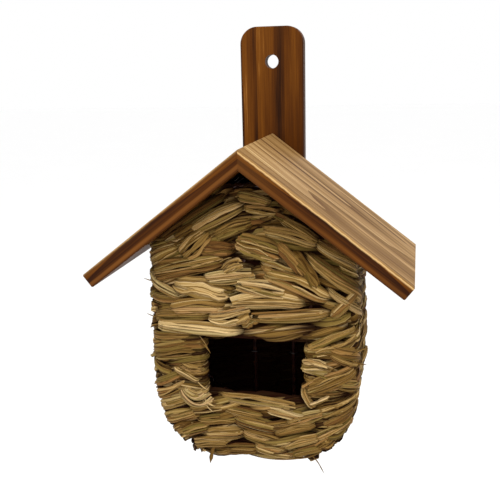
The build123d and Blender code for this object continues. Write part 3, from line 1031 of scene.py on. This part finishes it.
def straight_pair(rng, start, end, out, tall, turns, lift, count):
    """Two strands twisted round a straight or bowed line from start to end, with their core."""
    steps = np.linspace(0, 1, 60)
    line = np.array(start) + (np.array(end) - np.array(start)) * steps[:, None]
    line[:, 2] += lift * np.sin(math.pi * steps)
    outs = np.broadcast_to(np.array(out, float), line.shape)
    along = unit(line[-1] - line[0])
    up = np.cross(out, along)
    strips = [core({"spine": line, "out": outs}, tall * 0.56, 1.5)]
    for strand in (0, 1):
        p = (steps * turns + strand + rng.uniform(-0.1, 0.1)) * math.pi
        stand = 2.0 * np.cos(p)
        path = {
            "spine": line + stand[:, None] * outs + (1.6 * np.sin(p))[:, None] * up,
            "out": outs,
            "high": tall * (0.34 + 0.18 * np.abs(np.cos(p))),
            "deep": 1.7 + 0.6 * np.abs(np.cos(p)),
            "stand": stand + 1.0,
        }
        starts = rng.uniform(-0.1, 0.55, count)
        ends = np.clip(starts + rng.uniform(0.4, 0.8, count), 0, 1)
        starts = np.clip(starts, 0, 1)
        leaves = leaf_set(rng, count, start=starts, end=ends, turn=rng.uniform(0, 1.4, count))
        strips.append(leaf_strips(path, leaves))
    return strips


def named(prefix):
    """The CAD nodes whose names start so, in order."""
    return sorted(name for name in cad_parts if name.startswith(prefix))


wall_nodes = named("wall_course")
side_nodes = named("side_course")
base_nodes = named("base_course")
front_nodes = named("gable_course_front") + wall_nodes + side_nodes + base_nodes
laid_by_course = {name: [] for name in front_nodes}
for entries, make in ((laid, laid_bundle), (stray, stray_fibre)):
    for entry in entries:
        level = (entry[1] + entry[3]) / 2
        course = min(front_nodes, key=lambda name: abs(node_level(name)[0] - level))
        laid_by_course[course].append(make(rng, entry))


bottom_angles = (0.88, 1.16, 1.42)


def bottom_bundles(rng):
    """Bundles from front to back that close the rounded bottom between the side walls and the floor."""
    strips = []
    for side in (-1, 1):
        for angle in bottom_angles:
            lean = np.array([side * math.cos(angle), 0, -math.sin(angle)])
            centre = np.array([side * bottom_centre, 0, ridge_mm - bottom_start])
            middle = centre + (bottom_radius - wall_middle) * lean
            ends = (middle + [0, front_face + 15, 0], middle + [0, back_face - 4, 0])
            strips += straight_pair(rng, *ends, lean, tall=11.0, turns=3, lift=0.0, count=14)
    return strips


# full rings, above and below the entrance; the upper ones rise to the middle of the front
rises = dict(zip(wall_nodes, (9, 9, 7, 4, 1)))
for number, name in enumerate(wall_nodes + base_nodes):
    level, tall = node_level(name)
    press = 2.4 if name in wall_nodes else 0.4
    strips = twined(rng, level, rises.get(name, 0), press, tall, number % 2)
    if name == base_nodes[-1]:
        strips += bottom_bundles(rng)
    grass_piece(strips + laid_by_course[name], name)

# courses beside the entrance start and stop at its jambs
side_press = 2.0
path_spine, path_out, _ = wall_path(-145.0, 0, side_press)
path_at = np.linspace(0, 1, len(path_spine))
on_front = path_out[:, 1] < -0.9
left_stop = path_at[on_front & (path_spine[:, 0] < jamb_left)].max()
right_start = path_at[on_front & (path_spine[:, 0] > jamb_right)].min()
for number, name in enumerate(side_nodes):
    level, tall = node_level(name)
    strips = twined(rng, level, 0, side_press, tall, number % 2, (0.0, left_stop))
    strips += twined(rng, level, 0, side_press, tall, number % 2, (right_start, 1.0))
    strips += [jamb_wrap(rng, level, tall, side) for side in (-1, 1)]
    grass_piece(strips + laid_by_course[name], name)

# gable courses run only across the front and the back wall
for prefix, sign in (("gable_course_front", 1), ("gable_course_back", -1)):
    for name in named(prefix):
        level, tall = node_level(name)
        low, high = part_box(name)
        reach = high.x / mm
        y = (low.y + high.y) / 2 / mm + (2.0 if sign > 0 else 0.0)
        z = ridge_mm + level - 2.0
        ends = ((-sign * reach, y, z), (sign * reach, y, z))
        count = int(reach * 0.5) + 6
        strips = straight_pair(rng, *ends, (0, -sign, 0), tall * 1.15, reach / 12, 5.0, count)
        grass_piece(strips + laid_by_course.get(name, []), name)

# floor courses run from front to back over the ribs
for number, name in enumerate(named("floor_course")):
    low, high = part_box(name)
    x = (low.x + high.x) / 2 / mm
    z = (low.z + high.z) / 2 / mm
    ends = ((x, low.y / mm - 4, z), (x, high.y / mm - 3, z))
    turns = 3 + number % 2
    strips = straight_pair(rng, *ends, (0, 0, -1), tall=11.5, turns=turns, lift=0.0, count=16)
    grass_piece(strips, name)
